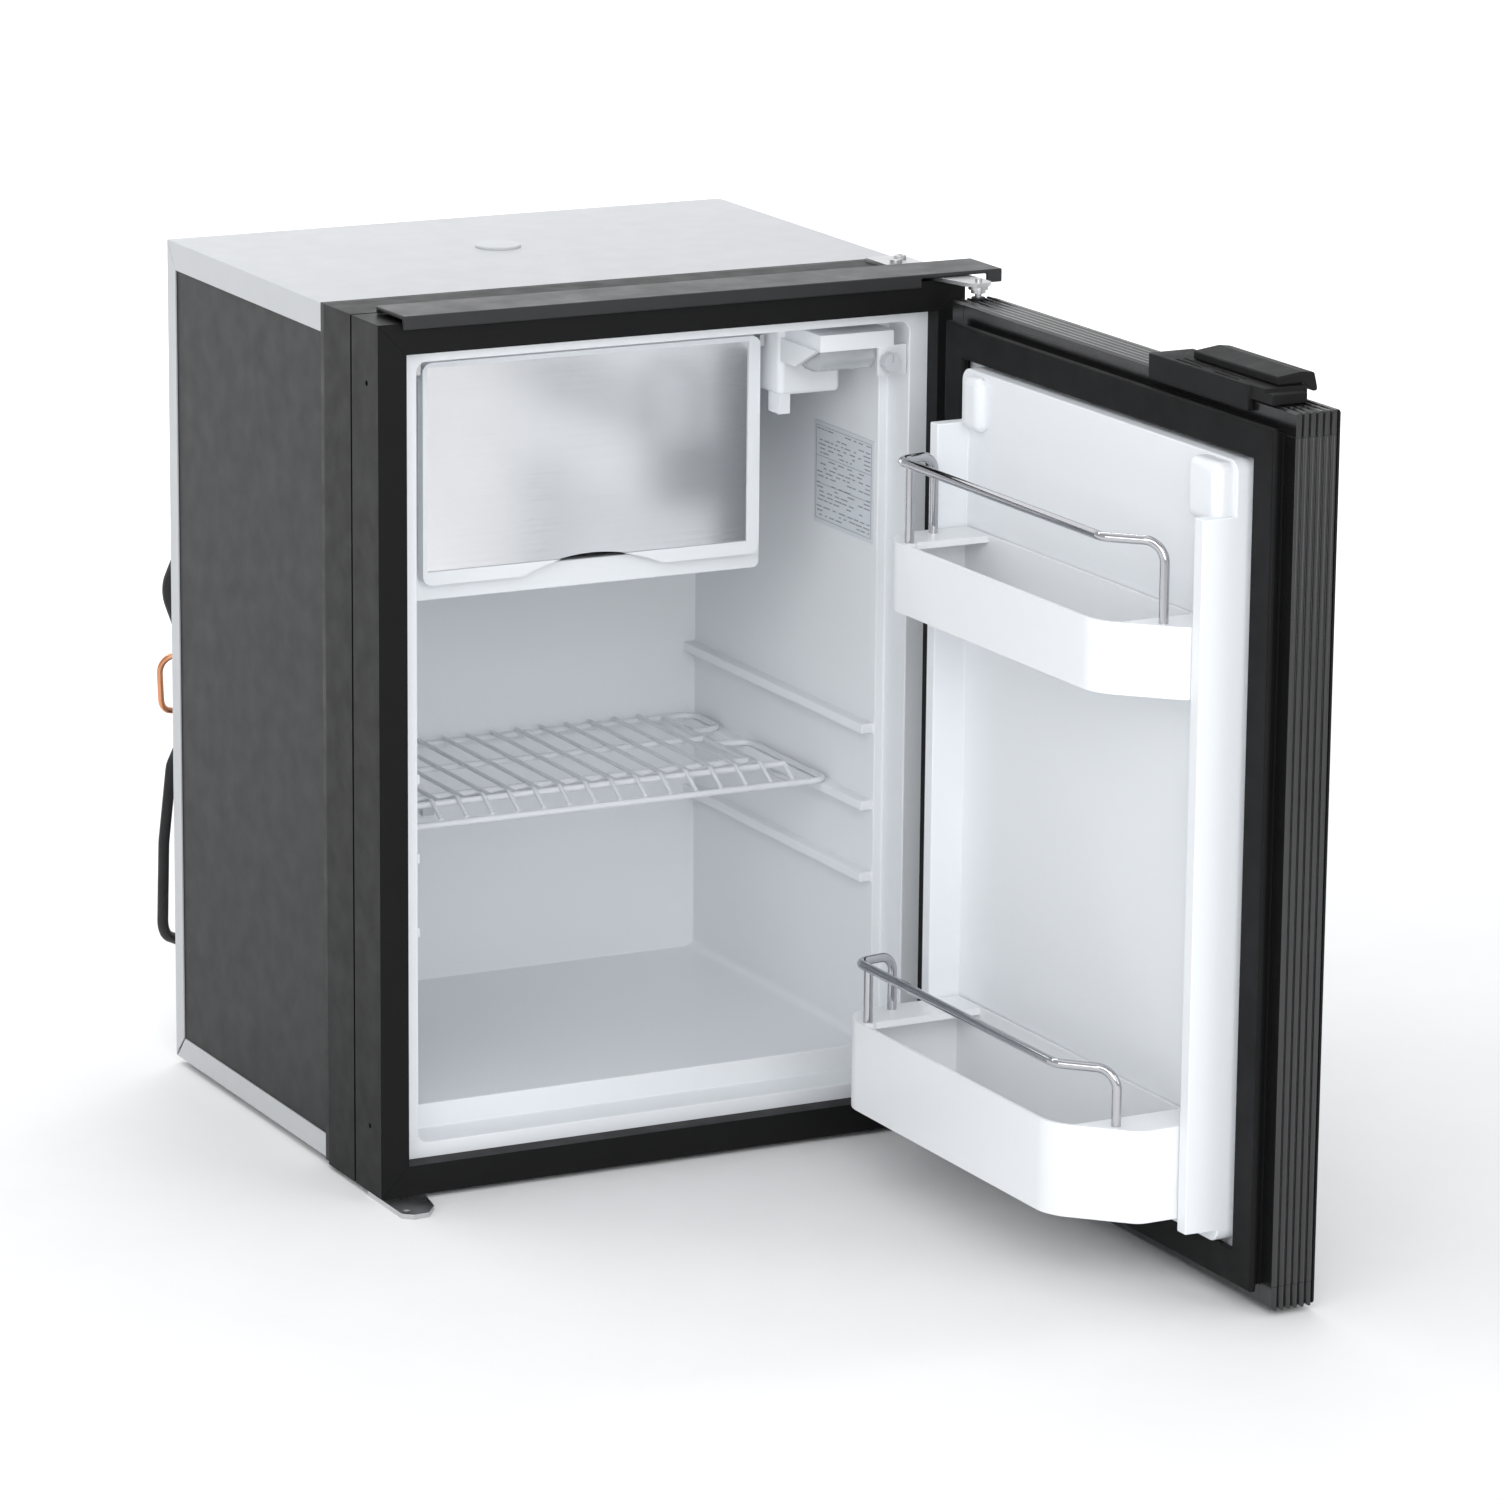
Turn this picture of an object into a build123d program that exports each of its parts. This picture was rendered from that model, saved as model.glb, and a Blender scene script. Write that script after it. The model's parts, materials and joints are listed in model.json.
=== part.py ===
from build123d import *
import math
import os

# Compact refrigerator with an inner freezer box, shown with its door standing open.
# Working axes: X to the right, Y to the back, Z up. X 0, Y 0 and Z 0 are the left edge,
# the front face and the underside of the black front frame. All lengths in millimetres.

# Cabinet
CAB_W = 380.0
CAB_H = 520.0
FRAME_D = 84.0
CAB_D = 321.0
SHEET = 0.8
BODY_IN = 2.0
TOP_FOLD = 17.0
BACK_FOLD = 12.5
BOTTOM_FOLD = 14.0
FIT = 0.1

# Front frame
STILE = 18.0
TOP_RAIL = 18.4
JAMB_D = 13.0
SKIN = 2.0
FLANGE_Y = 77.0
GROOVE_Y = 38.0
GROOVE_W = 2.0
SIDE_HOLE_R = 1.6
SIDE_HOLE_Y = 16.0
SIDE_HOLE_Z = (41.0, 484.0)

# Inner liner
LINER_T = 1.5
MOUTH_X = (30.0, 350.0)
MOUTH_Z = (27.0, 494.0)
MOUTH_Y = 41.0
ROOM_X = (36.0, 344.0)
ROOM_Z = (42.0, 490.0)
ROOM_Y = 283.0
GUIDE_Z = (147.0, 192.0, 240.0)
GUIDE_H = 6.0
GUIDE_OUT = 8.0

# Wire shelf
SHELF_X = (41.0, 339.0)
SHELF_Y = (91.0, 275.0)
SHELF_SEAT = 195.0
SHELF_WIRE = 2.0
SHELF_THIN = 1.3
SHELF_SIDE = 1.7
SHELF_END = 22.0
SHELF_COUNT = 14

# Freezer box
ICE_X = (60.0, 286.0)
ICE_Z = (349.0, 484.0)
ICE_Y = (92.0, 262.0)
ICE_T = 1.5
BEZEL_Y = (85.5, 91.9)
FLAP_Y = (76.0, 83.0)
FLAP_X = (62.0, 283.0)
FLAP_Z = (347.0, 480.0)
NOTCH_R = 110.0
NOTCH_DEPTH = 10.0
PIN_Y = 80.7
PIN_Z = 476.5

# Door, described closed
DOOR_Z = (0.6, 512.0)
DOOR_BACK = -10.0
RIB_PITCH = 4.5
RIB_COUNT = 6
RIB_DEEP = 1.8
RING_W = 14.0
HINGE_X = 375.0
HINGE_Y = -25.0
DOOR_OPEN = 91.0
PIN_R = 2.0
BUSH_R = 2.9
BUSH_LEN = 9.9
GASKET_Y = (-8.4, -0.8)
PLUG_X = (36.0, 340.0)
PLUG_Z = (32.0, 480.0)
PLUG_BACK = 5.0
TOWER_BACK = 26.0
TOWER_W = 9.0
TOWER_TOP = 449.0

# Door bins
BIN_X = (46.0, 330.0)
BIN_T = 2.0
BIN_CUT = 38.0
BIN_ROUNDS = (24.0, 30.0, 12.0)
BIN_LEDGE = 29.0
BIN_LEDGE_T = 4.0
UPPER_BIN = (346.0, 387.0, 65.0)
LOWER_BIN = (47.0, 101.0, 88.0)
UPPER_RAIL_Z = 433.0
LOWER_RAIL_Z = 134.0
RAIL_R = 2.75
BOSS_R = 4.5

# Cooling unit behind the cabinet
UNIT_X = (96.0, 352.0)
UNIT_Y = (326.0, 442.0)
TRAY_Z = (3.0, 6.0)
FLOOR_Z = -3.0
FAN_C = (150.0, 350.0, 120.0)
FAN_R = 38.0


def block(x, y, z):
    size = (x[1] - x[0], y[1] - y[0], z[1] - z[0])
    return Pos((x[0] + x[1]) / 2, (y[0] + y[1]) / 2, (z[0] + z[1]) / 2) * Box(*size)


def disc_z(x, y, z, r):
    return Pos(x, y, (z[0] + z[1]) / 2) * Cylinder(r, z[1] - z[0])


def disc_y(x, y, z, r):
    return Pos(x, (y[0] + y[1]) / 2, z) * Rot(90, 0, 0) * Cylinder(r, y[1] - y[0])


def disc_x(x, y, z, r):
    return Pos((x[0] + x[1]) / 2, y, z) * Rot(0, 90, 0) * Cylinder(r, x[1] - x[0])


def prism_z(points, z):
    face = make_face(Polyline(*[(p[0], p[1], z[0]) for p in points], close=True))
    return extrude(face, amount=z[1] - z[0], dir=(0, 0, 1))


def prism_y(points, y):
    face = make_face(Polyline(*[(p[0], y[0], p[1]) for p in points], close=True))
    return extrude(face, amount=y[1] - y[0], dir=(0, 1, 0))


def prism_x(points, x):
    face = make_face(Polyline(*[(x[0], p[0], p[1]) for p in points], close=True))
    return extrude(face, amount=x[1] - x[0], dir=(1, 0, 0))


def grow(span, amount):
    return (span[0] - amount, span[1] + amount)


def wire(points, radii, r):
    path = FilletPolyline(*points, radius=radii)
    start = Vector(*points[0])
    ahead = Vector(*points[1]) - start
    section = Plane(origin=start, z_dir=ahead) * Circle(r)
    return sweep(section, path=path)


def straight(a, b, r):
    start = Vector(*a)
    run = Vector(*b) - start
    return extrude(Plane(origin=start, z_dir=run) * Circle(r), amount=run.length)


def fuse(shapes):
    whole = shapes[0]
    for shape in shapes[1:]:
        whole = whole + shape
    return whole


# ---------------------------------------------------------------- cabinet shell

def side_skins(polygon):
    left = prism_x(polygon, (BODY_IN, BODY_IN + SHEET))
    right = prism_x(polygon, (CAB_W - BODY_IN - SHEET, CAB_W - BODY_IN))
    return left + right


def top_panel():
    z1 = CAB_H - 1.0
    y0 = FRAME_D + FIT
    plate = block((BODY_IN, CAB_W - BODY_IN), (y0, CAB_D), (z1 - SHEET, z1))
    fold = side_skins([
        (y0, z1), (CAB_D, z1), (CAB_D - BACK_FOLD, z1 - TOP_FOLD), (y0, z1 - TOP_FOLD)])
    hole = disc_z(175.0, 216.0, (z1 - 4.0, z1 + 4.0), 12.0)
    return plate + fold - hole


def back_panel():
    z0 = BODY_IN
    z1 = CAB_H - 1.0
    inner = (CAB_D - SHEET, CAB_D)
    plate = block((BODY_IN, CAB_W - BODY_IN), inner, (z0 + SHEET + FIT, z1 - SHEET - FIT))
    fold = side_skins([
        (CAB_D, z1 - SHEET - FIT), (CAB_D, z0 + SHEET + FIT),
        (CAB_D - BACK_FOLD, z0 + BOTTOM_FOLD + FIT), (CAB_D - BACK_FOLD, z1 - TOP_FOLD - 2 * FIT)])
    slope = TOP_FOLD / BACK_FOLD
    top_corner = prism_x([
        (CAB_D + 1.0, z1 - FIT + slope), (CAB_D - BACK_FOLD - 1.0, z1 - FIT - TOP_FOLD - slope),
        (CAB_D - BACK_FOLD - 1.0, z1 + 9.0), (CAB_D + 1.0, z1 + 9.0)], (0.0, CAB_W))
    return plate + (fold - Pos(0, FIT, -FIT) * top_corner)


def bottom_panel():
    z0 = BODY_IN
    y0 = FRAME_D + FIT
    plate = block((BODY_IN, CAB_W - BODY_IN), (y0, CAB_D), (z0, z0 + SHEET))
    fold = side_skins([
        (y0, z0), (CAB_D - 2.0, z0), (CAB_D - BACK_FOLD - 2.0, z0 + BOTTOM_FOLD),
        (y0, z0 + BOTTOM_FOLD)])
    return plate + fold


def side_panel(x):
    y0 = FRAME_D + FIT
    return block((x, x + SHEET), (y0, CAB_D - 4.0), (BODY_IN + 3.0, CAB_H - 4.0))


def insulation_foam():
    outer = block((4.0, CAB_W - 4.0), (15.0, CAB_D - SHEET - FIT), (4.0, CAB_H - 3.0))
    mouth = block(grow(MOUTH_X, LINER_T + FIT), (0.0, MOUTH_Y + FIT), grow(MOUTH_Z, LINER_T + FIT))
    room = block(
        grow(ROOM_X, LINER_T + FIT), (10.0, ROOM_Y + LINER_T + FIT), grow(ROOM_Z, LINER_T + FIT))
    return outer - mouth - room


def rounded_room(x, y, z, r):
    box = block(x, y, z)
    edges = [e for e in box.edges().filter_by(Axis.Y)]
    return fillet(edges, r)


def inner_liner():
    flange = block((8.0, CAB_W - 8.0), (JAMB_D + FIT, JAMB_D + FIT + LINER_T), (8.0, CAB_H - 8.0))
    mouth_out = rounded_room(
        grow(MOUTH_X, LINER_T), (JAMB_D + FIT, MOUTH_Y), grow(MOUTH_Z, LINER_T), 7.5)
    room_out = rounded_room(
        grow(ROOM_X, LINER_T), (MOUTH_Y - LINER_T, ROOM_Y + LINER_T), grow(ROOM_Z, LINER_T), 7.5)
    mouth_in = rounded_room(MOUTH_X, (0.0, MOUTH_Y - LINER_T), MOUTH_Z, 6.0)
    room_in = rounded_room(ROOM_X, (MOUTH_Y - 2 * LINER_T, ROOM_Y), ROOM_Z, 6.0)
    body = flange + mouth_out + room_out - mouth_in - room_in
    for z in GUIDE_Z:
        half = GUIDE_H / 2
        left = block((ROOM_X[0] - 1.0, ROOM_X[0] + GUIDE_OUT), (MOUTH_Y, ROOM_Y), (z - half, z + half))
        right = block((ROOM_X[1] - GUIDE_OUT, ROOM_X[1] + 1.0), (MOUTH_Y, ROOM_Y), (z - half, z + half))
        body = body + left + right
    return body


def filler_plug():
    z1 = CAB_H - 1.0
    head = disc_z(175.0, 216.0, (z1 + 0.05, z1 + 1.6), 14.0)
    stem = disc_z(175.0, 216.0, (z1 - 1.9, z1 + 0.1), 11.9)
    return fillet(head.edges().sort_by(Axis.Z)[-1], 1.0) + stem


# ---------------------------------------------------------------- front frame

def frame_ring():
    skin = block((0.0, CAB_W), (0.0, FLANGE_Y), (0.0, CAB_H))
    flange = block((1.0, CAB_W - 1.0), (FLANGE_Y, FRAME_D), (1.0, CAB_H - 0.5))
    hollow = block((SKIN, CAB_W - SKIN), (SKIN, FRAME_D + 1.0), (SKIN, CAB_H - SKIN))
    lip_out = block(
        (STILE - SKIN, CAB_W - STILE + SKIN), (0.0, JAMB_D), (STILE - SKIN, CAB_H - TOP_RAIL + SKIN))
    opening = block((STILE, CAB_W - STILE), (-1.0, FRAME_D), (STILE, CAB_H - TOP_RAIL))
    ring = skin + flange - hollow + lip_out - opening
    half = GROOVE_W / 2
    groove_y = (GROOVE_Y - half, GROOVE_Y + half)
    band = block((-1.0, CAB_W + 1.0), groove_y, (-1.0, CAB_H + 1.0))
    core = block((0.9, CAB_W - 0.9), groove_y, (0.9, CAB_H - 0.9))
    ring = ring - (band - core)
    for z in SIDE_HOLE_Z:
        ring = ring - disc_x((-1.0, SKIN + 1.0), SIDE_HOLE_Y, z, SIDE_HOLE_R)
        ring = ring - disc_x((CAB_W - SKIN - 1.0, CAB_W + 1.0), SIDE_HOLE_Y, z, SIDE_HOLE_R)
    return ring


def frame_rails():
    ring = frame_ring()
    deep = 80.0
    top_in = CAB_H - deep * TOP_RAIL / STILE
    gap = 0.05
    y = (-2.0, FRAME_D + 2.0)
    left = prism_y([(-1, gap - 1), (deep, deep + gap), (deep, top_in - gap), (-1, CAB_H + 1 - gap)], y)
    right = mirror(left, about=Plane.YZ.offset(CAB_W / 2))
    bottom = prism_y([
        (-1, -1 - gap), (CAB_W + 1, -1 - gap), (CAB_W - deep, deep - gap), (deep, deep - gap)], y)
    top = prism_y([
        (-1, CAB_H + 1 + gap), (CAB_W + 1, CAB_H + 1 + gap),
        (CAB_W - deep, top_in + gap), (deep, top_in + gap)], y)
    screw = disc_z(361.0, 52.0, (CAB_H - 8.0, CAB_H + 2.0), 2.1)
    screw = screw + disc_z(369.0, 62.0, (CAB_H - 8.0, CAB_H + 2.0), 2.1)
    return {
        "frame_left_stile": ring & left,
        "frame_right_stile": ring & right,
        "frame_bottom_rail": ring & bottom,
        "frame_top_rail": (ring & top) - screw,
    }


def top_cap():
    plate = block((14.0, 402.0), (-5.0, 34.0), (522.6, 525.0))
    lip = block((14.0, 402.0), (-5.0, -2.6), (517.0, 525.0))
    lip = lip - block((348.0, 392.0), (-6.0, 0.0), (516.0, 522.6))
    rear = block((14.0, 340.0), (31.6, 34.0), (520.2, 525.0))
    right = block((399.6, 402.0), (-5.0, 34.0), (519.0, 525.0))
    seat = block((60.0, 300.0), (4.0, 12.0), (520.1, 523.0))
    body = plate + lip + rear + right + seat
    return body


def upper_hinge_plate():
    z = (CAB_H + 0.1, CAB_H + 2.4)
    base = block((352.0, 377.0), (24.0, 74.0), z)
    arm = prism_z([(352.0, 24.0), (377.0, 24.0), (382.0, -14.0), (382.0, -28.0),
                   (378.0, -32.0), (370.0, -32.0), (366.0, -27.0), (358.0, 2.0)], z)
    plate = base + arm
    plate = plate - disc_z(361.0, 52.0, grow(z, 1.0), 2.2)
    plate = plate - disc_z(369.0, 62.0, grow(z, 1.0), 2.2)
    plate = plate - disc_z(HINGE_X, HINGE_Y, grow(z, 1.0), PIN_R)
    return plate


def upper_hinge_pin():
    pin = disc_z(HINGE_X, HINGE_Y, (DOOR_Z[1] - 8.0, CAB_H + 4.3), PIN_R)
    washer = disc_z(HINGE_X, HINGE_Y, (CAB_H - 2.2, CAB_H), 6.0)
    washer = washer + disc_z(HINGE_X, HINGE_Y, (CAB_H - 4.4, CAB_H - 2.2), 4.4)
    return pin + washer


def screw_down(x, y, z_top, length, r):
    shank = disc_z(x, y, (z_top - length, z_top + 0.1), r - 0.15)
    head = disc_z(x, y, (z_top, z_top + 2.2), 3.8)
    cross = block((x - 2.4, x + 2.4), (y - 0.5, y + 0.5), (z_top + 1.2, z_top + 3.0))
    cross = cross + block((x - 0.5, x + 0.5), (y - 2.4, y + 2.4), (z_top + 1.2, z_top + 3.0))
    return fillet(head.edges().sort_by(Axis.Z)[-1], 0.8) + shank - cross


def hinge_screws():
    z = CAB_H + 2.5
    return screw_down(361.0, 52.0, z, 5.3, 2.1) + screw_down(369.0, 62.0, z, 5.3, 2.1)


def bracket_outline(side):
    points = [(3.0, 62.0), (28.0, 62.0), (28.0, 0.0), (24.0, -22.0), (16.0, -33.0), (6.0, -34.0),
              (0.0, -29.0), (0.0, 20.0), (3.0, 24.0)]
    if side == "right":
        points = [(CAB_W - p[0], p[1]) for p in points]
    return points


def lower_bracket(side):
    plate = prism_z(bracket_outline(side), (FLOOR_Z, -0.1))
    x = 15.0 if side == "left" else CAB_W - 15.0
    for y in (24.0, 46.0):
        plate = plate - disc_z(x, y, (FLOOR_Z - 1.0, 1.0), 2.2)
    pin_x = CAB_W - HINGE_X if side == "left" else HINGE_X
    return plate - disc_z(pin_x, HINGE_Y, (FLOOR_Z - 1.0, 1.0), PIN_R)


def lower_hinge_pin():
    pin = disc_z(HINGE_X, HINGE_Y, (FLOOR_Z + 0.3, DOOR_Z[0] + 8.0), PIN_R)
    return pin + disc_z(HINGE_X, HINGE_Y, (-0.05, 0.45), 4.4)


def bracket_screws():
    screws = []
    for x in (15.0, CAB_W - 15.0):
        for y in (24.0, 46.0):
            shank = disc_z(x, y, (FLOOR_Z + 1.4, 3.9), 1.9)
            head = Pos(x, y, FLOOR_Z + 1.6) * Cone(1.9, 2.1, 2.6)
            screws.append(shank + head)
    return fuse(screws)


def bottom_rail_drilled(rail):
    for x in (15.0, CAB_W - 15.0):
        for y in (24.0, 46.0):
            rail = rail - disc_z(x, y, (-1.0, SKIN + 1.0), 2.1)
    return rail


# ---------------------------------------------------------------- inside

def evaporator_box():
    outer = rounded_room(ICE_X, ICE_Y, ICE_Z, 5.0)
    inner = rounded_room(grow(ICE_X, -ICE_T), (ICE_Y[0] - 1.0, ICE_Y[1] - ICE_T), grow(ICE_Z, -ICE_T), 4.0)
    return outer - inner


def freezer_bezel():
    outer = rounded_room((58.0, 288.0), BEZEL_Y, (336.0, 487.0), 4.0)
    inner = rounded_room((66.0, 280.0), grow(BEZEL_Y, 1.0), (352.0, 476.0), 3.0)
    return outer - inner


def finger_notch(r):
    centre_x = (FLAP_X[0] + FLAP_X[1]) / 2
    centre_z = FLAP_Z[0] + NOTCH_DEPTH - NOTCH_R
    return disc_y(centre_x, grow(FLAP_Y, 1.0), centre_z, r)


def flap_frame():
    outer = rounded_room(FLAP_X, FLAP_Y, FLAP_Z, 6.0)
    window = block((65.0, 275.5), (FLAP_Y[0] - 1.0, FLAP_Y[0] + 3.0), (355.0, 477.0))
    bore = disc_x((FLAP_X[0] - 1.0, FLAP_X[0] + 9.0), PIN_Y, PIN_Z, 1.55)
    bore = bore + disc_x((FLAP_X[1] - 9.0, FLAP_X[1] + 1.0), PIN_Y, PIN_Z, 1.55)
    return outer - window - finger_notch(NOTCH_R) - bore


def flap_panel():
    sheet = block((65.2, 275.3), (FLAP_Y[0] + 1.2, FLAP_Y[0] + 2.9), (355.2, 476.8))
    return sheet - finger_notch(NOTCH_R + 0.3)


def flap_pins():
    left = disc_x((FLAP_X[0] - 2.0, FLAP_X[0] + 8.0), PIN_Y, PIN_Z, 1.5)
    right = disc_x((FLAP_X[1] - 8.0, FLAP_X[1] + 2.0), PIN_Y, PIN_Z, 1.5)
    ear_l = block((FLAP_X[0] - 3.4, FLAP_X[0] - 0.4), (77.6, BEZEL_Y[0] - FIT), (473.0, 480.0))
    ear_r = block((FLAP_X[1] + 0.4, FLAP_X[1] + 3.4), (77.6, BEZEL_Y[0] - FIT), (473.0, 480.0))
    return left + right + ear_l + ear_r


def thermostat_housing():
    body = block((288.5, 330.0), (62.0, 122.0), (445.0, 489.0))
    body = fillet(body.edges().filter_by(Axis.Z).sort_by(Axis.Y)[:2], 4.0)
    body = fillet(body.edges().sort_by(Axis.Z)[:1], 3.0)
    neck = block((292.0, 341.0), (16.0, 63.0), (479.0, 489.0))
    shade = prism_x([(16.0, 480.0), (63.0, 480.0), (63.0, 466.0), (44.0, 466.0)], (289.5, 292.9))
    foot = block((288.6, 296.0), (62.0, 76.0), (434.0, 446.0))
    arm = block((331.0, 341.8), (15.9, 18.4), (462.0, 479.5))
    tab = block((340.0, 349.5), (15.9, 18.4), (462.0, 480.0))
    return body + neck + shade + foot + arm + tab


def lamp_lens():
    shell = block((293.5, 330.5), (19.0, 46.0), (465.5, 478.9))
    bottom = shell.edges().filter_by(Axis.X).sort_by(Axis.Z)[:2]
    shell = fillet(bottom, 8.0)
    hollow = block((295.0, 329.0), (20.5, 44.5), (467.0, 480.0))
    under = hollow.edges().filter_by(Axis.X).sort_by(Axis.Z)[:2]
    return shell - fillet(under, 6.5)


def lamp_bulb():
    glass = disc_x((299.0, 318.0), 32.5, 473.5, 4.0)
    base = disc_x((318.0, 328.5), 32.5, 473.5, 3.2)
    cap = block((320.0, 326.0), (30.0, 35.0), (475.0, 478.9))
    return fillet(glass.edges().sort_by(Axis.X)[0], 2.5) + base + cap


def thermostat_knob():
    disc = disc_y(336.0, (7.0, 13.0), 471.0, 5.5)
    mark = block((335.4, 336.6), (6.6, 8.0), (471.5, 476.0))
    stem = disc_y(336.0, (12.9, 15.6), 471.0, 2.0)
    return disc + stem - mark


def sensor_clip():
    body = block((120.0, 128.0), (ROOM_Y - 5.0, ROOM_Y - FIT), (150.0, 158.0))
    twin = block((152.0, 160.0), (ROOM_Y - 5.0, ROOM_Y - FIT), (150.0, 158.0))
    bar = block((127.0, 153.0), (ROOM_Y - 2.6, ROOM_Y - FIT), (152.5, 155.5))
    return body + twin + bar


def rating_label():
    return block((ROOM_X[1] - 0.5, ROOM_X[1] - FIT), (44.0, 121.0), (353.0, 416.0))


def shelf_loop(y_end, y_turn, y_in, z):
    x0, x1 = SHELF_X
    points = [(x0 + SHELF_END, y_in, z), (x0, y_turn, z), (x0, y_end, z), (x1, y_end, z),
              (x1, y_turn, z), (x1 - SHELF_END, y_in, z)]
    return wire(points, (8, 9, 9, 8), SHELF_WIRE)


def wire_shelf():
    z = SHELF_SEAT + SHELF_WIRE + FIT
    x0, x1 = SHELF_X
    y0, y1 = SHELF_Y
    nose = (y0 + 14.0, z + 9.0)
    over = SHELF_WIRE + SHELF_THIN - 0.4
    parts = [shelf_loop(y0, y0 + 105.0, y0 + 109.0, z), shelf_loop(y1, y1 - 38.0, y1 - 42.0, z)]
    for x in (x0 + SHELF_END + 0.4, x1 - SHELF_END - 0.4):
        parts.append(straight((x, y0 + 0.5, z + 0.15), (x, y1 - 0.5, z + 0.15), SHELF_SIDE))
    for y, level in (nose, (y0 + 62.0, z + 0.25), (y0 + 124.0, z + 0.25)):
        parts.append(straight((x0 + SHELF_END, y, level), (x1 - SHELF_END, y, level), SHELF_WIRE))
    step = (x1 - x0 - 2 * SHELF_END) / (SHELF_COUNT + 1)
    for i in range(SHELF_COUNT):
        x = x0 + SHELF_END + step * (i + 1)
        parts.append(wire([(x, y0 - 0.5, z + over), (x, nose[0], nose[1] + over), (x, y0 + 40.0, z + over),
                           (x, y1 + 0.5, z + over)], (6, 6), SHELF_THIN))
    for x in (x0 + SHELF_END + 0.2, x1 - SHELF_END - 0.2):
        side = [(x, y0 + 1.3, z + 0.9), (x, nose[0], nose[1] + 0.2), (x, y0 + 40.0, z + 0.9)]
        parts.append(wire(side, (5,), SHELF_SIDE - 0.1))
    return fuse(parts)


# ---------------------------------------------------------------- door

def ribbed_block():
    ribs = []
    for i in range(RIB_COUNT):
        y1 = DOOR_BACK - RIB_PITCH * i
        rib = block((0.0, CAB_W), (y1 - RIB_PITCH + 0.5, y1), DOOR_Z)
        crest = [e for e in rib.edges() if abs(e.center().Y - y1) < 0.01]
        heel = [e for e in rib.edges() if abs(e.center().Y - y1 + RIB_PITCH - 0.5) < 0.01]
        ribs.append(chamfer(crest + heel, 1.4))
    core_y = (DOOR_BACK - RIB_PITCH * RIB_COUNT + 0.5, DOOR_BACK)
    core = block((RIB_DEEP, CAB_W - RIB_DEEP), core_y, grow(DOOR_Z, -RIB_DEEP))
    return fuse(ribs + [core])


def door_ring():
    y = (DOOR_BACK - RIB_PITCH * RIB_COUNT - 1.0, DOOR_BACK + 1.0)
    inside = block((RING_W, CAB_W - RING_W), y, grow(DOOR_Z, -RING_W))
    top_bore = disc_z(HINGE_X, HINGE_Y, (DOOR_Z[1] - 10.0, DOOR_Z[1] + 1.0), BUSH_R + 0.1)
    low_bore = disc_z(HINGE_X, HINGE_Y, (DOOR_Z[0] - 1.0, DOOR_Z[0] + 10.0), BUSH_R + 0.1)
    return ribbed_block() - inside - top_bore - low_bore


def door_edges():
    ring = door_ring()
    y = (-60.0, 10.0)
    seam = RING_W
    g = 0.05
    z0, z1 = DOOR_Z
    left = block((-5.0, seam - g), y, (z0 + seam + g, z1 - seam - g))
    right = block((CAB_W - seam + g, CAB_W + 5.0), y, (z0 + seam + g, z1 - seam - g))
    top = block((seam + g, CAB_W - seam - g), y, (z1 - seam - 5.0, z1 + 5.0))
    bottom = block((seam + g, CAB_W - seam - g), y, (z0 - 5.0, z0 + seam + 5.0))
    corners = []
    for x in ((-5.0, seam - g), (CAB_W - seam + g, CAB_W + 5.0)):
        for z in ((z0 - 5.0, z0 + seam - g), (z1 - seam + g, z1 + 5.0)):
            corners.append(ring & block(x, y, z))
    return {
        "door_latch_edge": ring & left,
        "door_hinge_edge": ring & right,
        "door_top_edge": ring & top,
        "door_bottom_edge": ring & bottom,
        "door_corner_caps": fuse(corners),
    }


def door_bushes():
    z0, z1 = DOOR_Z
    top = disc_z(HINGE_X, HINGE_Y, (z1 - BUSH_LEN, z1 + 1.0), BUSH_R)
    top = top + disc_z(HINGE_X, HINGE_Y, (z1 + 0.05, z1 + 1.0), BUSH_R + 1.2)
    low = disc_z(HINGE_X, HINGE_Y, (z0, z0 + BUSH_LEN), BUSH_R)
    hole = disc_z(HINGE_X, HINGE_Y, (z0 - 1.0, z1 + 2.0), PIN_R + 0.06)
    return top + low - hole


def door_front_panel():
    y1 = DOOR_BACK - RIB_PITCH * RIB_COUNT + 0.4
    plate = block((0.6, CAB_W - 0.6), (y1 - 1.4, y1), grow(DOOR_Z, -0.6))
    return fillet(plate.edges().filter_by(Axis.Y), 2.0)


def door_foam():
    y0 = DOOR_BACK - RIB_PITCH * RIB_COUNT + 0.5
    inner = RING_W + FIT
    slab = block((inner, CAB_W - inner), (y0, DOOR_BACK - FIT), grow(DOOR_Z, -inner))
    plug = block(grow(PLUG_X, -4.0), (DOOR_BACK - 1.0, PLUG_BACK - 1.7), grow(PLUG_Z, -4.0))
    return slab + plug


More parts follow.
